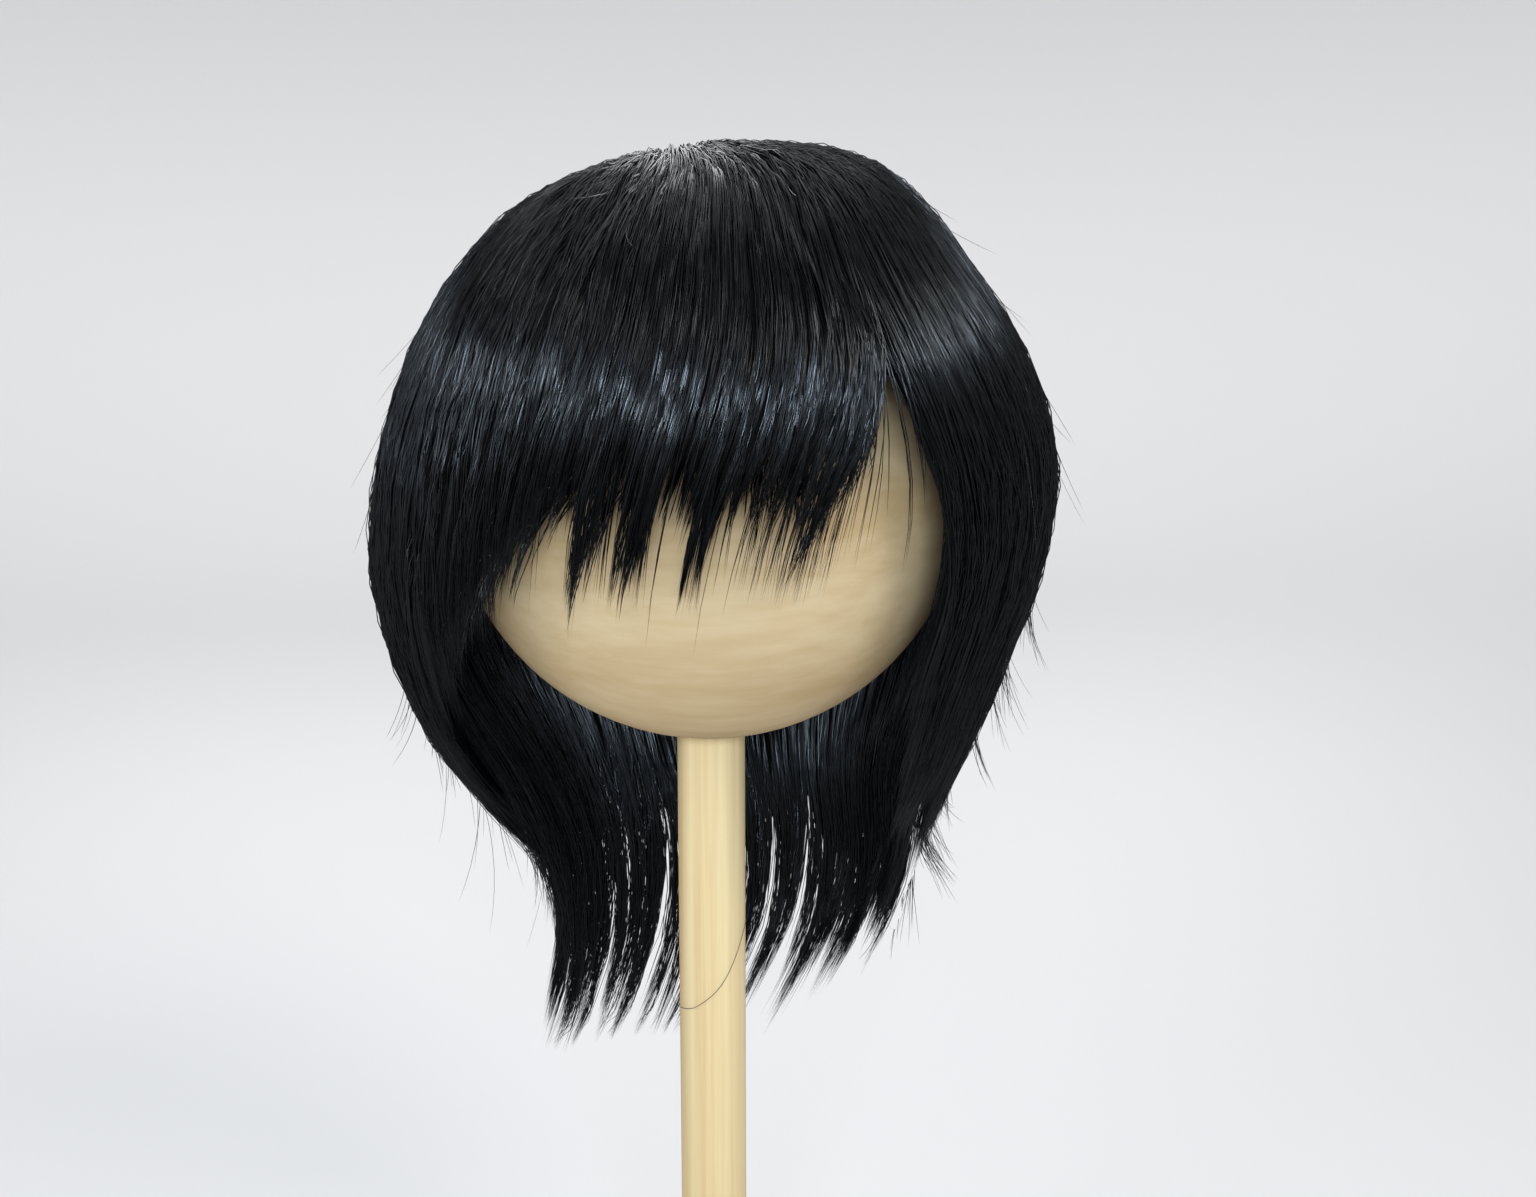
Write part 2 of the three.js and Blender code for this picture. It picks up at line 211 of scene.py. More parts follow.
# How the strands lie, in rows of the sections, in degrees and in millimetres
ROOT_ROWS = (0.03, 1.5)  # past a weft's first row
LINING_ROOT_ROW = 5.5
LOCK_RISE = 12  # above a slit, where its locks begin to narrow
WISP_RISE, WISP_DROP = 9, 3  # above and below the edge, between which wisps draw together
SURFACE_DEPTH, SURFACE_LAYER = 0.15, 1.3  # of the highest strands, and from these to the lowest
ROOT_DIP = 0.6  # how much deeper strands lie at their roots
WISP_DIP = 0.3  # and at a wisp's two sides
SLIT_DIP = 0.9  # and beside a slit
FLICK_ON_RIGHT = 0.5  # the share of the flick on the right
SHELL_COLUMNS, SHELL_ROWS = 60, 24
SHELL_INSET = 0.6
SHELL_DEPTH = 1.6

# The number that goes with a weft's seed for each trait that the strands of a bundle share
DRAWS = {"cut": 1, "drift": 2, "lift": 3, "pitch": 4, "phase": 5, "bend": 6, "tone": 7}
BUNDLES = 600  # more than any weft has

# Woods: their two colours, and how fine the grain and the broad bands are along x, y and z
WOOD_COLUMNS = ("name", "light", "dark", "grain_scale", "band_scale")
WOODS = (
    ("ball_wood", (0.65, 0.505, 0.3), (0.53, 0.375, 0.19), (60, 300, 500), (8, 20, 90)),
    ("dowel_wood", (0.79, 0.645, 0.365), (0.65, 0.47, 0.235), (900, 900, 18), (260, 260, 4)),
)

# Area lights: places and sizes in metres, power in watts, and the spread of the beam in degrees
BACKDROP_FOOT = (0, 1.2, 0.15)
LIGHT_COLUMNS = ("name", "place", "target", "size", "power", "colour", "spread")
LIGHTS = (
    ("front_box", (0, -0.75, 0.37), BALL_CENTRE, (0.38, 0.13), 0.68, (0.78, 0.89, 1), 70),
    ("left_window", (-0.8, -0.3, 0.17), BALL_CENTRE, (0.3, 0.15), 0.125, (0.8, 0.9, 1), 70),
    ("left_fill", (-0.7, -0.5, 0.5), BALL_CENTRE, (0.4, 0.4), 0.24, (0.9, 0.95, 1), 70),
    ("right_fill", (0.6, -0.55, 0.8), BALL_CENTRE, (0.4, 0.4), 0.55, (1, 0.96, 0.9), 70),
    ("low_fill", (-0.15, -0.8, 0.1), BALL_CENTRE, (0.4, 0.1), 0.025, (0.9, 0.95, 1), 70),
    ("top_box", (0, 0.15, 0.9), BALL_CENTRE, (0.5, 0.5), 0.8, (1, 0.98, 0.95), 180),
    ("back_box", (-0.05, 0.5, 0.5), BALL_CENTRE, (0.7, 0.5), 1.4, (1, 1, 1), 110),
    ("backdrop_wash", (0, 0.2, 0.9), BACKDROP_FOOT, (2, 0.4), 5.5, (1, 1, 1), 105),
)
WORLD_COLOUR, WORLD_STRENGTH = (0.92, 0.95, 1, 1), 0.24

# The stage, in metres
STAGE_RADIUS, STAGE_BEND, STAGE_HEIGHT = 1.8, 1.3, 2.4


def lerp(a, b, share):
    return a + (b - a) * share


def smoothstep(value, low, high):
    t = np.clip((value - low) / (high - low), 0, 1)
    return t * t * (3 - 2 * t)


def section(name, row):
    """A column of the hair's table between its rows, on a smooth curve through them."""
    values = SECTIONS[name]
    i = np.clip(np.floor(row).astype(int), 0, LAST_ROW - 1)
    f = row - i
    a, b, c, d = (values[np.clip(i + k, 0, LAST_ROW)] for k in (-1, 0, 1, 2))
    return b + 0.5 * f * (c - a + f * (2 * a - 5 * b + 4 * c - d + f * (3 * (b - c) + d - a)))


FINE_ROWS = np.linspace(1, LAST_ROW, 1400)
FINE_HEIGHTS = section("height", FINE_ROWS)


def row_at(height):
    """The row at which the outer form reaches a height. Past the last section the rows go on evenly."""
    height = np.asarray(height, float)
    lowest = FINE_HEIGHTS[-1]
    step = SECTIONS["height"][-2] - lowest
    return np.interp(-height, -FINE_HEIGHTS, FINE_ROWS) + np.maximum(lowest - height, 0) / step


def outer_point(row, azimuth):
    left, right, front, back = (section(name, row) for name in ("left", "right", "front", "back"))
    across, along = np.cos(azimuth), np.sin(azimuth)
    x = (right - left) / 2 + (right + left) / 2 * across
    y = (back - front) / 2 + (back + front) / 2 * along
    z = section("height", row) + section("lean", row) * across
    return np.stack([x, y, z], axis=-1)


def outward(row, azimuth):
    """The outer form's normal."""
    step = 0.02
    down = outer_point(row + step, azimuth) - outer_point(row - step, azimuth)
    around = outer_point(row, azimuth + step) - outer_point(row, azimuth - step)
    normal = np.cross(down, around)
    return normal / np.linalg.norm(normal, axis=-1, keepdims=True)


def beneath(row, azimuth, depth):
    """Points at a depth under the outer form, in millimetres from the ball's centre, kept out of the cap."""
    point = outer_point(row, azimuth) - outward(row, azimuth) * np.asarray(depth)[..., None]
    radius = np.linalg.norm(point, axis=-1, keepdims=True)
    return point * np.maximum(1, HAIR_CLEARANCE_RADIUS / radius)


def new_mesh_object(name, vertices, quads, triangles):
    """A smooth-shaded mesh object from arrays of vertices, quads and triangles."""
    mesh = bpy.data.meshes.new(name)
    mesh.vertices.add(len(vertices))
    mesh.vertices.foreach_set("co", np.asarray(vertices, np.float32).ravel())
    corners = np.concatenate([np.ravel(quads), np.ravel(triangles)]).astype(np.int32)
    sizes = np.concatenate([np.full(len(quads), 4), np.full(len(triangles), 3)])
    starts = np.concatenate([[0], np.cumsum(sizes)[:-1]]).astype(np.int32)
    mesh.loops.add(len(corners))
    mesh.loops.foreach_set("vertex_index", corners)
    mesh.polygons.add(len(sizes))
    mesh.polygons.foreach_set("loop_start", starts)
    mesh.polygons.foreach_set("use_smooth", np.full(len(sizes), True))
    mesh.update(calc_edges=True)
    mesh.validate()
    obj = bpy.data.objects.new(name, mesh)
    bpy.context.scene.collection.objects.link(obj)
    return obj


def dressed(obj, node, material):
    """Gives a piece its material and puts it in the place of a node."""
    obj.data.materials.append(MATERIALS[material])
    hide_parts(node)
    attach(obj, "root")


# Strands take their colour from one of these columns of the texture space, and slabs from the first
TONE_COLUMNS = 64


class Strands:
    """Collects tapered three-sided strands, and closed slabs under them, for one joined mesh."""

    def __init__(self):
        self.vertices, self.quads, self.triangles = [], [], []
        self.quad_uvs, self.triangle_uvs = [], []
        self.quad_materials = []
        self.count = 0

    def add(self, points, radii, tones):
        """points is strands x points x 3, radii strands x points, tones from 0 to 1 for each strand."""
        strands, steps = points.shape[:2]
        tangent = np.gradient(points, axis=1)
        tangent /= np.linalg.norm(tangent, axis=-1, keepdims=True)
        side = np.cross(tangent, points)
        side /= np.linalg.norm(side, axis=-1, keepdims=True)
        lift = np.cross(side, tangent)
        rings = []
        for corner in range(3):
            angle = math.pi / 2 + corner * 2 * math.pi / 3
            rings.append(points + radii[..., None] * (math.cos(angle) * side + math.sin(angle) * lift))
        body = np.stack(rings, axis=2)[:, :-1]
        per_strand = 3 * (steps - 1) + 1
        flat = np.concatenate([body.reshape(strands, -1, 3), points[:, -1:]], axis=1)
        first = self.count + np.arange(strands)[:, None] * per_strand

        level = np.arange(steps - 2)
        quads, triangles, quad_levels = [], [], []
        last_ring = 3 * (steps - 2)
        for corner in range(3):
            after = (corner + 1) % 3
            a, b = 3 * level + corner, 3 * level + after
            quads.append(np.stack([a, b, b + 3, a + 3], axis=-1))
            quad_levels.append(level)
            triangles.append([last_ring + corner, last_ring + after, last_ring + 3])
        triangles.append([2, 1, 0])
        quads = np.concatenate(quads)
        levels = np.concatenate(quad_levels)
        triangles = np.array(triangles)

        column = (1 + np.floor(tones * (TONE_COLUMNS - 1)) + 0.5) / TONE_COLUMNS
        half = 0.3 / TONE_COLUMNS
        v0, v1 = levels / (steps - 1), (levels + 1) / (steps - 1)
        quad_u = column[:, None, None] + half * np.array([-1, 1, 1, -1])
        quad_v = np.stack([v0, v0, v1, v1], axis=-1)[None]
        quad_uv = np.stack(np.broadcast_arrays(quad_u, quad_v), axis=-1)
        tip_v = np.array([[1 - 1 / (steps - 1), 1 - 1 / (steps - 1), 1]] * 3 + [[0, 0, 0.01]])
        triangle_u = column[:, None, None] + half * np.array([-1, 1, 0])
        triangle_uv = np.stack(np.broadcast_arrays(triangle_u, tip_v[None]), axis=-1)

        self.vertices.append(flat.reshape(-1, 3))
        self.quads.append((quads[None] + first[..., None]).reshape(-1, 4))
        self.triangles.append((triangles[None] + first[..., None]).reshape(-1, 3))
        self.quad_uvs.append(quad_uv.reshape(-1, 2))
        self.triangle_uvs.append(triangle_uv.reshape(-1, 2))
        self.quad_materials.append(np.zeros(strands * len(quads), np.int32))
        self.count += strands * per_strand

    def add_slab(self, inner, outer):
        """A closed slab between two grids of points, columns x rows x 3."""
        columns, rows = inner.shape[:2]
        self.vertices.append(np.concatenate([inner.reshape(-1, 3), outer.reshape(-1, 3)]))
        layer = columns * rows
        index = np.arange(layer).reshape(columns, rows) + self.count
        a, b, c, d = index[:-1, :-1], index[:-1, 1:], index[1:, 1:], index[1:, :-1]
        faces = [np.stack([a, d, c, b], -1), np.stack([a, b, c, d], -1) + layer]
        edges = [index[:, 0], index[-1, :], index[::-1, -1], index[0, ::-1]]
        for edge in edges:
            faces.append(np.stack([edge[:-1], edge[:-1] + layer, edge[1:] + layer, edge[1:]], -1))
        faces = np.concatenate([f.reshape(-1, 4) for f in faces])
        self.quads.append(faces)
        corner = np.array([[0, 0], [1, 0], [1, 1], [0, 1]]) * 0.4 / TONE_COLUMNS + 0.3 / TONE_COLUMNS
        self.quad_uvs.append(np.tile(corner, (len(faces), 1)))
        self.quad_materials.append(np.ones(len(faces), np.int32))
        self.count += 2 * layer

    def build(self, name):
        vertices = np.concatenate(self.vertices) * MM + np.array(BALL_CENTRE)
        quads, triangles = np.concatenate(self.quads), np.concatenate(self.triangles)
        obj = new_mesh_object(name, vertices, quads, triangles)
        uvs = np.concatenate(self.quad_uvs + self.triangle_uvs)
        layer = obj.data.uv_layers.new(name="OFBake")
        layer.data.foreach_set("uv", uvs.astype(np.float32).ravel())
        slots = np.concatenate(self.quad_materials + [np.zeros(len(triangles), np.int32)])
        obj.data.polygons.foreach_set("material_index", slots)
        return obj


def lock_table(weft):
    """Arrays of each lock's start, end, tip height and the slit heights on its two sides."""
    until, tip, notch = np.array(weft["locks"], float).T
    start = np.concatenate([[weft["start"]], until[:-1]])
    notch_before = np.concatenate([[weft["edge"]], notch[:-1]])
    return start, until, tip, notch_before, notch


def edge_of(weft, azimuth):
    """For azimuths across a weft: the lock, the place across it from -1 to 1, and the free edge's height."""
    start, until, tip, before, after = lock_table(weft)
    k = np.clip(np.searchsorted(until, azimuth), 0, len(until) - 1)
    across = 2 * (azimuth - start[k]) / (until[k] - start[k]) - 1
    notch = np.where(across < 0, before[k], after[k])
    return k, across, lerp(tip[k], notch, np.abs(across) ** weft["fullness"])


def share_across(weft, azimuth):
    return (azimuth - weft["start"]) / (weft["locks"][-1][0] - weft["start"])


def swept(weft, azimuth, row):
    """The azimuth that hair rooted at an azimuth has reached at a row."""
    share = share_across(weft, azimuth)
    at_start, at_end = weft["sweep_rows"]
    first, last = (lerp(a, b, share**4) for a, b in zip(at_start, at_end))
    sweep = lerp(*weft["sweep"], share) * smoothstep(row, first, last)
    return azimuth + sweep + weft["tail"] * share**4 * smoothstep(row, 6, 9)


def body_thickness(weft, azimuth, row, down):
    """Thickness of a weft: less at its two ends and towards its tips."""
    share = share_across(weft, azimuth)
    ends = lerp(WEFT_END_SHARE, 1, smoothstep(np.minimum(share, 1 - share), 0, WEFT_END_TAPER))
    full = np.maximum(section("under" if weft["first"] else "over", row), 0.8)
    return full * ends * lerp(1, TIP_SHARE, smoothstep(down, 0.5, 1))


def cover_over(weft, row):
    """Depth of the hair that lies over a weft. It thins towards its own tips."""
    thinned = lerp(1, 0.4, smoothstep(row, 10.5, 12.5))
    return np.maximum(section("over", row), 0) * thinned + 0.3 if weft["first"] else 0 * row


def bundles(weft, azimuth, width):
    """For azimuths, in uneven bundles about a width: the bundle, its middle, the place across it, -1 to 1."""
    rng = np.random.default_rng((weft["seed"], round(100 * width)))
    widths = width * rng.uniform(0.5, 1.5, BUNDLES)
    ends = weft["start"] + np.cumsum(widths)
    index = np.searchsorted(ends, azimuth)
    half = widths[index] / 2
    middle = ends[index] - half
    return index, middle, (azimuth - middle) / half


def shared_draw(weft, index, trait, low, high):
    """A random number for each bundle, the same for all its strands, as a column."""
    rng = np.random.default_rng((weft["seed"], DRAWS[trait]))
    return rng.uniform(low, high, BUNDLES)[index][:, None]


def wander(row, rng, size, low, high):
    """Slow waves along single strands, each with a size, pitch and start of its own."""
    count = len(row)
    pitch = rng.uniform(low, high, (count, 1))
    phase = rng.uniform(0, 2 * math.pi, (count, 1))
    return rng.normal(0, size, (count, 1)) * np.sin(row * pitch + phase)


def strand_rows(weft, layer, azimuth, rng):
    """The rows that each strand runs through, from its root to its tip."""
    count = len(azimuth)
    lock, _, edge = edge_of(weft, azimuth)
    slit = np.maximum(*lock_table(weft)[3:])[lock]
    wisp, _, within = bundles(weft, azimuth, weft["wisp"])
    below, above = weft["ragged"]
    cut = lerp(-below, above, shared_draw(weft, wisp, "cut", 0, 1)[:, 0] ** 0.8)
    shorter = weft["layered"] * rng.random(count) ** 3 + 2 * rng.random(count) ** 2
    shorter = shorter + 2 * np.abs(within) ** 1.5
    longer = weft["reach"] * rng.random(count) ** 4
    tip_row = row_at(np.minimum(edge + cut + shorter, slit + weft["layered"]) - longer)
    root_row = weft["first"] + lerp(*ROOT_ROWS, rng.random(count) ** 1.6)
    if layer == "lining" and not weft["first"]:
        root_row = LINING_ROOT_ROW + rng.random(count)
    t = np.linspace(0, 1, weft["points"])
    return lerp(root_row[:, None], np.maximum(tip_row, root_row + 0.5)[:, None], t)


def strand_angles(weft, azimuth, row, rng):
    """Azimuths along each strand: towards the tips, strands draw into wisps, and wisps into locks."""
    start, until, tip, before, after = lock_table(weft)
    lock, _, edge = edge_of(weft, azimuth)
    wisp, middle, _ = bundles(weft, azimuth, weft["wisp"])
    lock_middle = ((start + until) / 2)[lock] + weft["lean"]
    lock_start = row_at(np.maximum(before, after) + LOCK_RISE)[lock][:, None]
    lock_end = row_at(tip)[lock][:, None]
    pinch = weft["pinch"] * np.clip((row - lock_start) / (lock_end - lock_start), 0, 1.2) ** 2
    wisp_start, wisp_end = row_at(edge + WISP_RISE)[:, None], row_at(edge - WISP_DROP)[:, None]
    gather = 0.15 + 0.7 * np.clip((row - wisp_start) / (wisp_end - wisp_start), 0, 1) ** 1.5
    angle = azimuth[:, None] + (middle - azimuth)[:, None] * gather
    angle = angle + (lock_middle - middle)[:, None] * pinch
    drift = weft["drift"] * weft["wisp"] * shared_draw(weft, wisp, "drift", -1, 1)
    angle = swept(weft, angle, row) + drift * smoothstep(row, 2, 8)
    radius = np.maximum(section("right", row) + section("left", row), 12) / 2
    return angle + np.degrees(wander(row, rng, 0.35, 0.3, 0.9) / radius)


def strand_depths(weft, layer, azimuth, row, rng):
    """Depth along each strand under the outer form. Narrow tresses rise and dip together."""
    t = np.linspace(0, 1, weft["points"])
    across = edge_of(weft, azimuth)[1][:, None]
    within = bundles(weft, azimuth, weft["wisp"])[2][:, None]
    tress = bundles(weft, azimuth, weft["wisp"] / 2)[0]
    lift = shared_draw(weft, tress, "lift", *weft["lift"])
    pitch = shared_draw(weft, tress, "pitch", 1.4, 2.8)
    phase = shared_draw(weft, tress, "phase", 0, 2 * math.pi)
    depth = SURFACE_DEPTH + SURFACE_LAYER * rng.random((len(row), 1))
    depth = depth + ROOT_DIP * (1 - smoothstep(t, 0, 0.06))
    depth = depth + WISP_DIP * within**2 + lift * np.sin(row * pitch + phase)
    depth = depth + wander(row, rng, 0.12, 1.2, 2.6)
    depth = depth + SLIT_DIP * np.abs(across) ** 3 * smoothstep(row, 4, 8)
    thickness = body_thickness(weft, azimuth[:, None], row, t)
    if layer == "lining":
        depth = np.maximum(thickness - depth, 0.4)
    elif weft["first"]:
        depth = np.minimum(depth, thickness)
    return depth + cover_over(weft, row)


def add_layer(strands, weft, layer, rng):
    """Adds the strands of one layer of a weft."""
    count = round(LAYER_SHARES[layer] * weft["strands"])
    place_across = (np.arange(count) + rng.random(count)) / count
    azimuth = lerp(weft["start"], weft["locks"][-1][0], place_across)
    row = strand_rows(weft, layer, azimuth, rng)
    angle = strand_angles(weft, azimuth, row, rng)
    place = beneath(row, np.radians(angle), strand_depths(weft, layer, azimuth, row, rng))
    t = np.linspace(0, 1, weft["points"])
    wisp = bundles(weft, azimuth, weft["wisp"])[0]
    tress = bundles(weft, azimuth, weft["wisp"] / 2)[0]
    on_left = lerp(1, FLICK_ON_RIGHT, smoothstep(place[..., 0], -20, 20))
    bend = weft["flick"] * np.clip((t - 0.5) / 0.5, 0, 1) ** 1.8 * on_left
    place[..., 0] -= bend * shared_draw(weft, wisp, "bend", 0.55, 1.15)
    place[..., 1] -= weft["curl"] * np.clip((t - 0.25) / 0.75, 0, 1) ** 1.5
    radius = rng.uniform(*STRAND_RADII, (count, 1)) * lerp(1, TIP_RADIUS_SHARE, smoothstep(t, 0.8, 1))
    tones = shared_draw(weft, tress, "tone", 0, 1)[:, 0] + rng.normal(0, 0.03, count)
    strands.add(place, radius, np.clip(tones, 0, 0.99))


def add_shell(strands, weft):
    """The dark body of a weft under its strands."""
    columns = np.linspace(weft["start"] + SHELL_INSET, weft["locks"][-1][0] - SHELL_INSET, SHELL_COLUMNS)
    lock, _, edge = edge_of(weft, columns)
    slit = np.maximum(*lock_table(weft)[3:])[lock]
    end = row_at(np.maximum(edge + weft["shell_rise"], slit + 2))[:, None]
    down = np.linspace(0, 1, SHELL_ROWS)[None]
    first = weft["first"] + 0.1
    row = first + (end - first) * down
    azimuth = columns[:, None] + 0 * down
    thickness = body_thickness(weft, azimuth, row, down)
    cover = cover_over(weft, row)
    if weft["first"]:
        top, bottom = cover + 0.35 * thickness, cover + 0.6 * thickness
    else:
        top = SHELL_DEPTH + 0 * row
        bottom = np.maximum(thickness - 1, top + 0.3)
    angle = np.radians(swept(weft, azimuth, row))
    strands.add_slab(beneath(row, angle, bottom), beneath(row, angle, top))


def table_rows(columns, rows, weft_name):
    """The rows of a table that belong to a weft, with their values by name."""
    named = [dict(zip(columns, values)) for values in rows]
    return [row for row in named if row["weft"] == weft_name]


def add_loose_wisps(strands, weft_name, rng):
    """Fine wisps of a weft, each drawn to a point of its own."""
    for wisp in table_rows(WISP_COLUMNS, LOOSE_WISPS, weft_name):
        count = wisp["hairs"]
        tip_row = row_at(wisp["tip_height"] + rng.uniform(0, 5, count) * np.linspace(0, 1, count))[:, None]
        t = np.linspace(0, 1, 13)
        row = lerp(rng.uniform(0.5, 2, (count, 1)), tip_row, t)
        turned = smoothstep(row, 4, row_at(wisp["tip_height"]) + rng.uniform(0, 0.3, (count, 1)))
        spread = rng.normal(0, 0.3, (count, 1)) * lerp(1, 0.4, t) + rng.normal(0, 0.7, (count, 1)) * t**6
        angle = lerp(wisp["azimuth"], wisp["tip_azimuth"], turned) + spread
        depth = rng.uniform(0.3, 1.6, (count, 1)) + 2.0 * (1 - smoothstep(t, 0, 0.1))
        depth = depth - wisp["stand"] * smoothstep(t, 0.6, 0.9)
        place = beneath(row, np.radians(angle), depth)
        radius = rng.uniform(*WISP_RADII, (count, 1)) * lerp(1, TIP_RADIUS_SHARE, smoothstep(t, 0.8, 1))
        strands.add(place, radius, rng.random(count))


def add_tufts(strands, weft_name, rng):
    """Tufts of short hairs that stand out from a weft."""
    for tuft in table_rows(TUFT_COLUMNS, TUFTS, weft_name):
        tufts, count = tuft["tufts"], tuft["tufts"] * tuft["hairs"]

        def drawn(low, high, spread):
            each = np.repeat(rng.uniform(low, high, tufts), tuft["hairs"])
            return (each + rng.normal(0, spread, count))[:, None]

        row = row_at(drawn(tuft["bottom"], tuft["top"], 0.8))
        azimuth = np.radians(drawn(tuft["from_azimuth"], tuft["to_azimuth"], 0.8))
        length = tuft["length"] * rng.uniform(0.5, 1.2, (count, 1))
        slope = tuft["slope"] * np.abs(drawn(0.4, 1.3, 0.2))
        t = np.linspace(0, 1, 7)
        normal = outward(row, azimuth)
        below = outer_point(row + 0.02, azimuth) - outer_point(row - 0.02, azimuth)
        below = below / np.linalg.norm(below, axis=-1, keepdims=True)
        around = np.cross(normal, below)
        out = slope * (t + 0.4 * t**2)
        turn = drawn(-0.4, 0.4, 0.1) * t + drawn(-0.5, 0.5, 0.1) * t**2
        course = out[..., None] * normal + t[:, None] * below + turn[..., None] * around
        place = beneath(row, azimuth, 0.6 + 0 * row) + length[..., None] * course
        radius = rng.uniform(*TUFT_RADII, (count, 1)) * lerp(1, TIP_RADIUS_SHARE, t)
        strands.add(place, radius, rng.random(count))


def smooth_path(points, steps):
    """Points along a smooth curve through a few given ones."""
    points = np.asarray(points, float)
    place = np.linspace(0, len(points) - 1, steps)
    i = np.clip(place.astype(int), 0, len(points) - 2)
    f = (place - i)[:, None]
    a, b, c, d = (points[np.clip(i + k, 0, len(points) - 1)] for k in (-1, 0, 1, 2))
    return b + 0.5 * f * (c - a + f * (2 * a - 5 * b + 4 * c - d + f * (3 * (b - c) + d - a)))


def hair_piece(name):
    weft = WEFTS[name]
    rng = np.random.default_rng(weft["seed"])
    strands = Strands()
    for layer in LAYER_SHARES:
        add_layer(strands, weft, layer, rng)
    add_shell(strands, weft)
    add_loose_wisps(strands, name, rng)
    add_tufts(strands, name, rng)
    if name == "hair_nape":
        path = smooth_path(DOWEL_HAIR, DOWEL_HAIR_POINTS)
        strands.add(path[None], np.full((1, DOWEL_HAIR_POINTS), DOWEL_HAIR_RADIUS), np.array([0.5]))
    obj = strands.build(name + "_strands")
    dressed(obj, name, "hair")
    obj.data.materials.append(MATERIALS["hair_body"])


def arc(centre, radius, start, end, steps):
    angles = np.radians(np.linspace(start, end, steps + 1))
    return [(centre[0] + radius * math.cos(a), centre[1] + radius * math.sin(a)) for a in angles]


def turned_mesh(name, outline, sides, centre=Vector((0, 0, 0)), tilt=0):
    """A mesh turned from an outline of (radius, height) pairs from its centre."""
    angles = np.linspace(0, 2 * math.pi, sides, endpoint=False)
    vertices, rings = [], []
    for radius, height in outline:
        if radius < 1e-9:
            rings.append([len(vertices)])
            vertices.append((0, 0, height))
        else:
            rings.append(list(range(len(vertices), len(vertices) + sides)))
            vertices += [(radius * math.cos(a), radius * math.sin(a), height) for a in angles]
    quads, triangles = [], []
    for low, high in zip(rings, rings[1:]):
        for i in range(sides):
            j = (i + 1) % sides
            if len(low) == 1:
                triangles.append((low[0], high[j], high[i]))
            elif len(high) == 1:
                triangles.append((low[i], low[j], high[0]))
            else:
                quads.append((low[i], low[j], high[j], high[i]))
    c, s = math.cos(math.radians(tilt)), math.sin(math.radians(tilt))
    lean = np.array([[1, 0, 0], [0, c, s], [0, -s, c]])
    vertices = np.array(vertices) @ lean.T + np.array(centre)
    obj = new_mesh_object(name, vertices, np.array(quads).reshape(-1, 4), np.array(triangles))
    obj.data.set_sharp_from_angle(angle=math.radians(40))
    return obj


def wooden(obj, node, wood):
    """A piece of the stand, kept out of the hair's reflections."""
    obj.visible_glossy = False
    dressed(obj, node, wood)


def ball_piece():
    socket = DOWEL_RADIUS + FIT_GAP
    mouth = math.degrees(math.asin(socket / BALL_RADIUS)) - 90
    floor = -BALL_RADIUS + BALL_SOCKET_DEPTH
    shell = arc((0, 0), BALL_RADIUS, mouth, 90, 48)
    outline = [(0, floor), (socket, floor), *shell[:-1], (0, BALL_RADIUS)]
    wooden(turned_mesh("wooden_ball", outline, sides=112, centre=BALL_CENTRE), "stand_ball", "ball_wood")


def dowel_piece():
    chamfer = 0.5 * MM
    foot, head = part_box("stand_dowel")[0].z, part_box("stand_dowel")[1].z
    outline = [(0, foot), (DOWEL_RADIUS - chamfer, foot), (DOWEL_RADIUS, foot + chamfer)]
    outline += [(DOWEL_RADIUS, h) for h in np.linspace(foot + chamfer, head - chamfer, 12)[1:]]
    outline += [(DOWEL_RADIUS - chamfer, head), (0, head)]
    wooden(turned_mesh("wooden_dowel", outline, sides=64), "stand_dowel", "dowel_wood")


def base_piece():
    ease = 0.8 * MM
    socket = DOWEL_RADIUS + FIT_GAP
    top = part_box("stand_base")[1].z
    floor = top - BASE_SOCKET_DEPTH
    bottom_edge = arc((BASE_RADIUS - ease, ease), ease, -90, 0, 5)
    top_edge = arc((BASE_RADIUS - BASE_EDGE_RADIUS, top - BASE_EDGE_RADIUS), BASE_EDGE_RADIUS, 0, 90, 10)
    outline = [(0, 0), *bottom_edge, *top_edge, (socket, top), (socket, floor), (0, floor)]
    wooden(turned_mesh("wooden_base", outline, sides=128), "stand_base", "ball_wood")


def cap_piece():
    edge = 90 - CAP_EDGE_ANGLE
    rim = (CAP_OUTER_RADIUS - CAP_INNER_RADIUS) / 2
    middle = (CAP_INNER_RADIUS + CAP_OUTER_RADIUS) / 2
    rim_centre = (middle * math.cos(math.radians(edge)), middle * math.sin(math.radians(edge)))
    inner = arc((0, 0), CAP_INNER_RADIUS, 90, edge, 24)
    outer = arc((0, 0), CAP_OUTER_RADIUS, edge, 90, 24)
    bead = arc(rim_centre, rim, edge - 180, edge, 6)
    outline = [(0, CAP_INNER_RADIUS), *inner[1:-1], *bead, *outer[1:-1], (0, CAP_OUTER_RADIUS)]
    cap = turned_mesh("net_cap", outline, sides=96, centre=BALL_CENTRE, tilt=CAP_TILT)
    dressed(cap, "wig_cap", "net")


def new_material(name):
    material = bpy.data.materials.new(name)
    material.use_nodes = True
    nodes, links = material.node_tree.nodes, material.node_tree.links
    return material, nodes, links, nodes["Principled BSDF"]


def set_inputs(node, values):
    for socket, value in values.items():
        node.inputs[socket].default_value = value


def add_node(nodes, kind, values):
    """A shader node of a kind, with some of its inputs set."""
    node = nodes.new("ShaderNode" + kind)
    set_inputs(node, values)
    return node


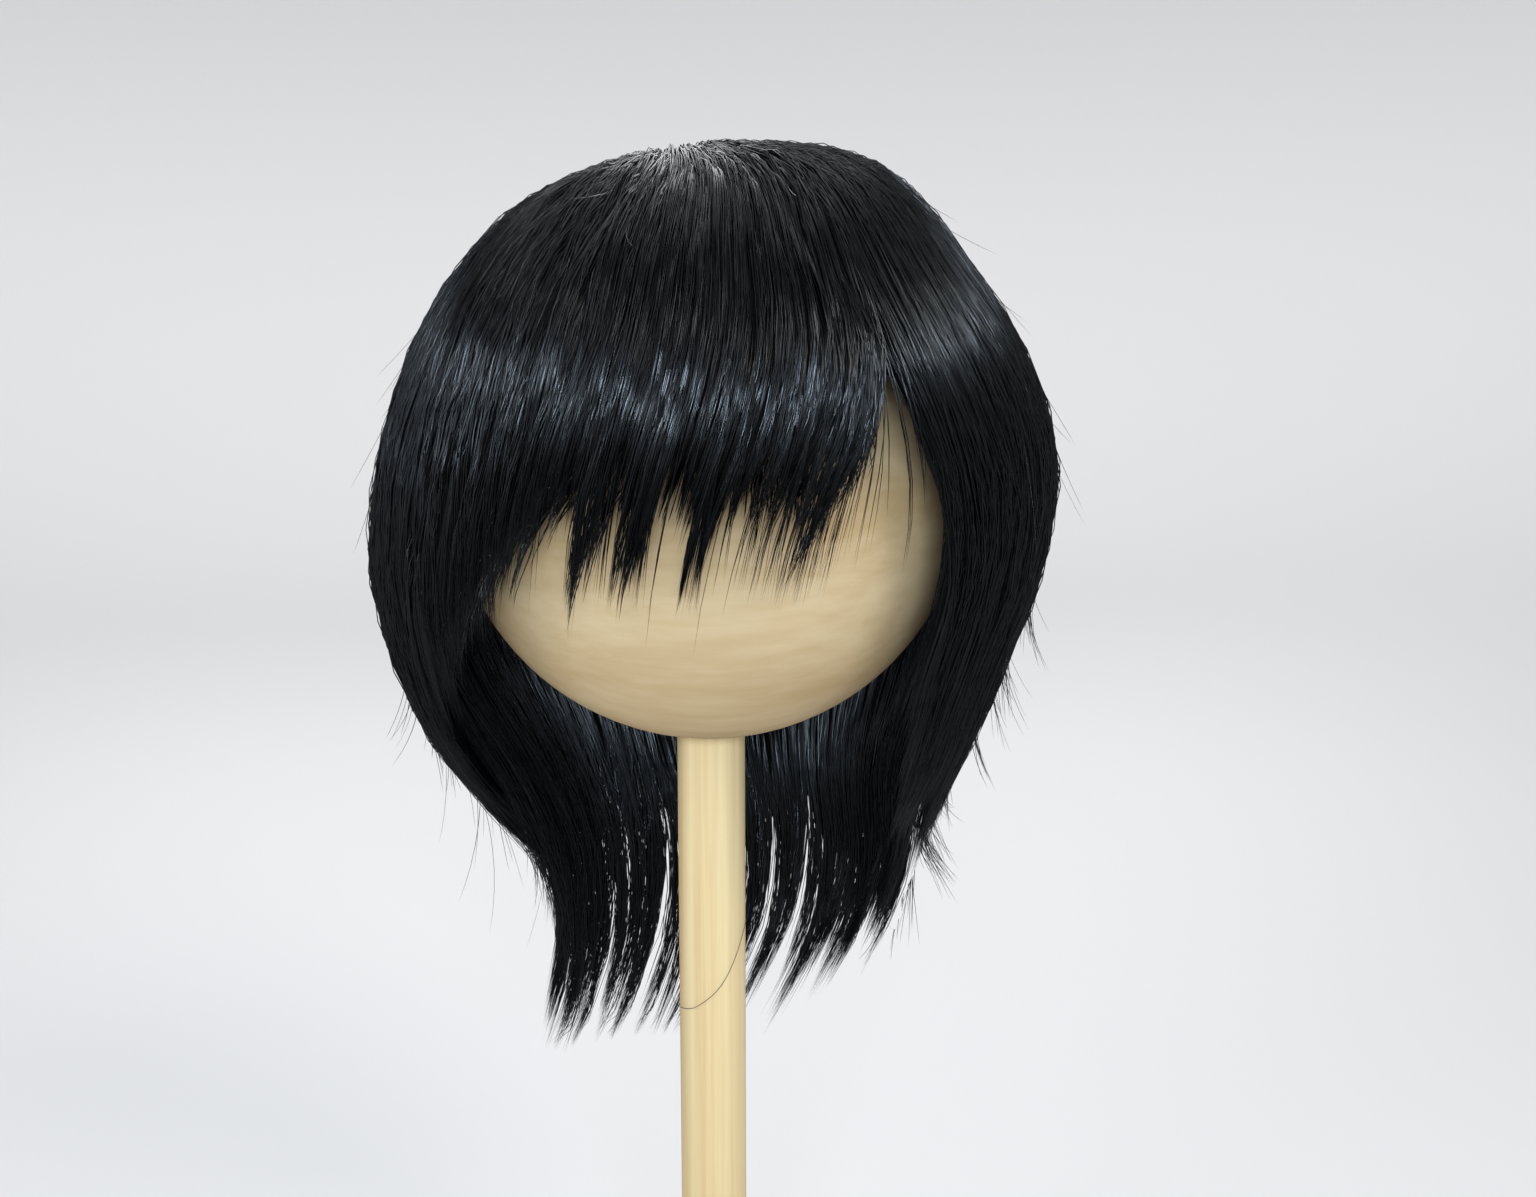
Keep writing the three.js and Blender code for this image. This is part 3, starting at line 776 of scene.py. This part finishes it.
def add_noise(nodes, links, source, stretch, values):
    """Noise over coordinates that are multiplied along the three axes."""
    mapping = add_node(nodes, "Mapping", {"Scale": stretch})
    noise = add_node(nodes, "TexNoise", values)
    links.new(source, mapping.inputs["Vector"])
    links.new(mapping.outputs["Vector"], noise.inputs["Vector"])
    return noise


def add_colours(nodes, links, source, shader, dark, light, span=(0, 1)):
    """Colours a shader from dark to light as a value runs through a span."""
    ramp = nodes.new("ShaderNodeValToRGB")
    for element, position, colour in zip(ramp.color_ramp.elements, span, (dark, light)):
        element.position = position
        element.color = (*colour, 1)
    links.new(source, ramp.inputs["Fac"])
    links.new(ramp.outputs["Color"], shader.inputs["Base Color"])


def add_bump(nodes, links, source, shader, strength, distance):
    bump = add_node(nodes, "Bump", {"Strength": strength, "Distance": distance})
    links.new(source, bump.inputs["Height"])
    links.new(bump.outputs["Normal"], shader.inputs["Normal"])


def hair_material():
    """Black hair: strands differ in tone and gloss, and change slowly along their length."""
    material, nodes, links, shader = new_material("black_hair")
    uv = nodes.new("ShaderNodeUVMap")
    uv.uv_map = "OFBake"
    noise = add_noise(nodes, links, uv.outputs["UV"], (1, 0.06, 1), {"Scale": 40, "Detail": 2})
    noise.noise_dimensions = "2D"
    value = noise.outputs["Fac"]
    add_colours(nodes, links, value, shader, (0.0012, 0.0012, 0.0015), (0.006, 0.0055, 0.0055), (0.35, 0.75))
    for socket, low, high in (("Roughness", 0.12, 0.42), ("Specular IOR Level", 1, 0.45)):
        span = {"From Min": 0.35, "From Max": 0.65, "To Min": low, "To Max": high}
        remap = add_node(nodes, "MapRange", span)
        links.new(value, remap.inputs["Value"])
        links.new(remap.outputs["Result"], shader.inputs[socket])
    shader.inputs["Specular Tint"].default_value = (0.86, 0.93, 1, 1)
    return material


def hair_body_material():
    """The dark, dull depth of the hair between its strands, with fine upright streaks."""
    material, nodes, links, shader = new_material("hair_body")
    place = nodes.new("ShaderNodeTexCoord").outputs["Object"]
    noise = add_noise(nodes, links, place, (2500, 2500, 60), {"Scale": 1, "Detail": 2})
    add_colours(nodes, links, noise.outputs["Fac"], shader, (0.0008, 0.0008, 0.001), (0.005, 0.005, 0.0055))
    set_inputs(shader, {"Roughness": 0.9, "Specular IOR Level": 0.15})
    return material


def wood_material(name, light, dark, grain_scale, band_scale):
    """Pale wood: broad bands and fine grain drawn out along the fibres."""
    material, nodes, links, shader = new_material(name)
    place = nodes.new("ShaderNodeTexCoord").outputs["Object"]
    grain = add_noise(nodes, links, place, grain_scale, {"Scale": 1, "Detail": 6, "Roughness": 0.6})
    bands = add_noise(nodes, links, place, band_scale, {"Scale": 1, "Detail": 2})
    mix = nodes.new("ShaderNodeMix")
    mix.data_type = "FLOAT"
    mix.inputs["Factor"].default_value = 0.45
    links.new(bands.outputs["Fac"], mix.inputs["A"])
    links.new(grain.outputs["Fac"], mix.inputs["B"])
    add_colours(nodes, links, mix.outputs["Result"], shader, dark, light, (0.36, 0.62))
    add_bump(nodes, links, grain.outputs["Fac"], shader, 0.08, 0.1 * MM)
    set_inputs(shader, {"Roughness": 0.55, "Specular IOR Level": 0.35})
    return material


def net_material():
    """Black cap net: crossed threads, dull, with a painted highlight on the thread crowns."""
    material, nodes, links, shader = new_material("cap_net")
    place = nodes.new("ShaderNodeTexCoord").outputs["Object"]
    weave_height_and_highlight = nodes.new("ShaderNodeMath")
    weave_height_and_highlight.operation = "MAXIMUM"
    for i, direction in enumerate(("X", "Z")):
        wave = add_node(nodes, "TexWave", {"Scale": 400, "Distortion": 0.6})
        wave.bands_direction = direction
        links.new(place, wave.inputs["Vector"])
        links.new(wave.outputs["Fac"], weave_height_and_highlight.inputs[i])
    # The weave's height also lightens the colour towards the thread crowns: a painted highlight.
    add_colours(nodes, links, weave_height_and_highlight.outputs[0], shader, (0.002, 0.002, 0.002), (0.012, 0.012, 0.013))
    add_bump(nodes, links, weave_height_and_highlight.outputs[0], shader, 0.6, 0.2 * MM)
    shader.inputs["Roughness"].default_value = 0.85
    return material


def stage():
    """A round pale floor that curves up into a wall, softly lit and kept out of the hair's reflections."""
    curve = arc((STAGE_RADIUS - STAGE_BEND, STAGE_BEND), STAGE_BEND, -90, 0, 16)
    outline = [(STAGE_RADIUS, STAGE_HEIGHT), *reversed(curve), (0, 0)]
    floor = turned_mesh("floor", outline, sides=96)
    material, _, _, shader = new_material("pale_floor")
    set_inputs(shader, {"Base Color": (0.62, 0.62, 0.625, 1), "Roughness": 0.9})
    set_inputs(shader, {"Emission Color": (0.97, 0.98, 1, 1), "Emission Strength": 0.13})
    floor.data.materials.append(material)
    floor.visible_glossy = False


def area_light(name, place, target, size, power, colour, spread):
    data = bpy.data.lights.new(name, "AREA")
    data.spread = math.radians(spread)
    data.shape = "RECTANGLE"
    data.size, data.size_y = size
    data.energy = power
    data.color = colour
    obj = bpy.data.objects.new(name, data)
    obj.location = place
    obj.rotation_euler = (Vector(target) - Vector(place)).to_track_quat("-Z", "Y").to_euler()
    obj.visible_camera = False
    bpy.context.scene.collection.objects.link(obj)


def lights():
    world = bpy.data.worlds.new("studio")
    bpy.context.scene.world = world
    world.use_nodes = True
    background = world.node_tree.nodes["Background"]
    set_inputs(background, {"Color": WORLD_COLOUR, "Strength": WORLD_STRENGTH})
    for row in LIGHTS:
        area_light(**dict(zip(LIGHT_COLUMNS, row)))


def camera():
    data = bpy.data.cameras.new("photo_camera")
    data.sensor_width = SENSOR_WIDTH
    data.lens = SENSOR_WIDTH * FOCAL_PIXELS / IMAGE_WIDTH
    data.clip_start, data.clip_end = 0.01, 20
    obj = bpy.data.objects.new("photo_camera", data)
    away = Vector((0, -math.cos(CAMERA_ELEVATION), math.sin(CAMERA_ELEVATION)))
    obj.location = BALL_CENTRE + away * CAMERA_DISTANCE
    obj.rotation_euler = (math.pi / 2 + CAMERA_PITCH, 0, -CAMERA_YAW)
    bpy.context.scene.collection.objects.link(obj)
    bpy.context.scene.camera = obj


MATERIALS = {
    "hair": hair_material(),
    "hair_body": hair_body_material(),
    "net": net_material(),
}
for wood_row in WOODS:
    wood = dict(zip(WOOD_COLUMNS, wood_row))
    MATERIALS[wood["name"]] = wood_material(**wood)
camera()
stage()
lights()
ball_piece()
dowel_piece()
base_piece()
cap_piece()
for weft_name in WEFTS:
    hair_piece(weft_name)
bpy.context.scene.view_settings.view_transform = "Standard"
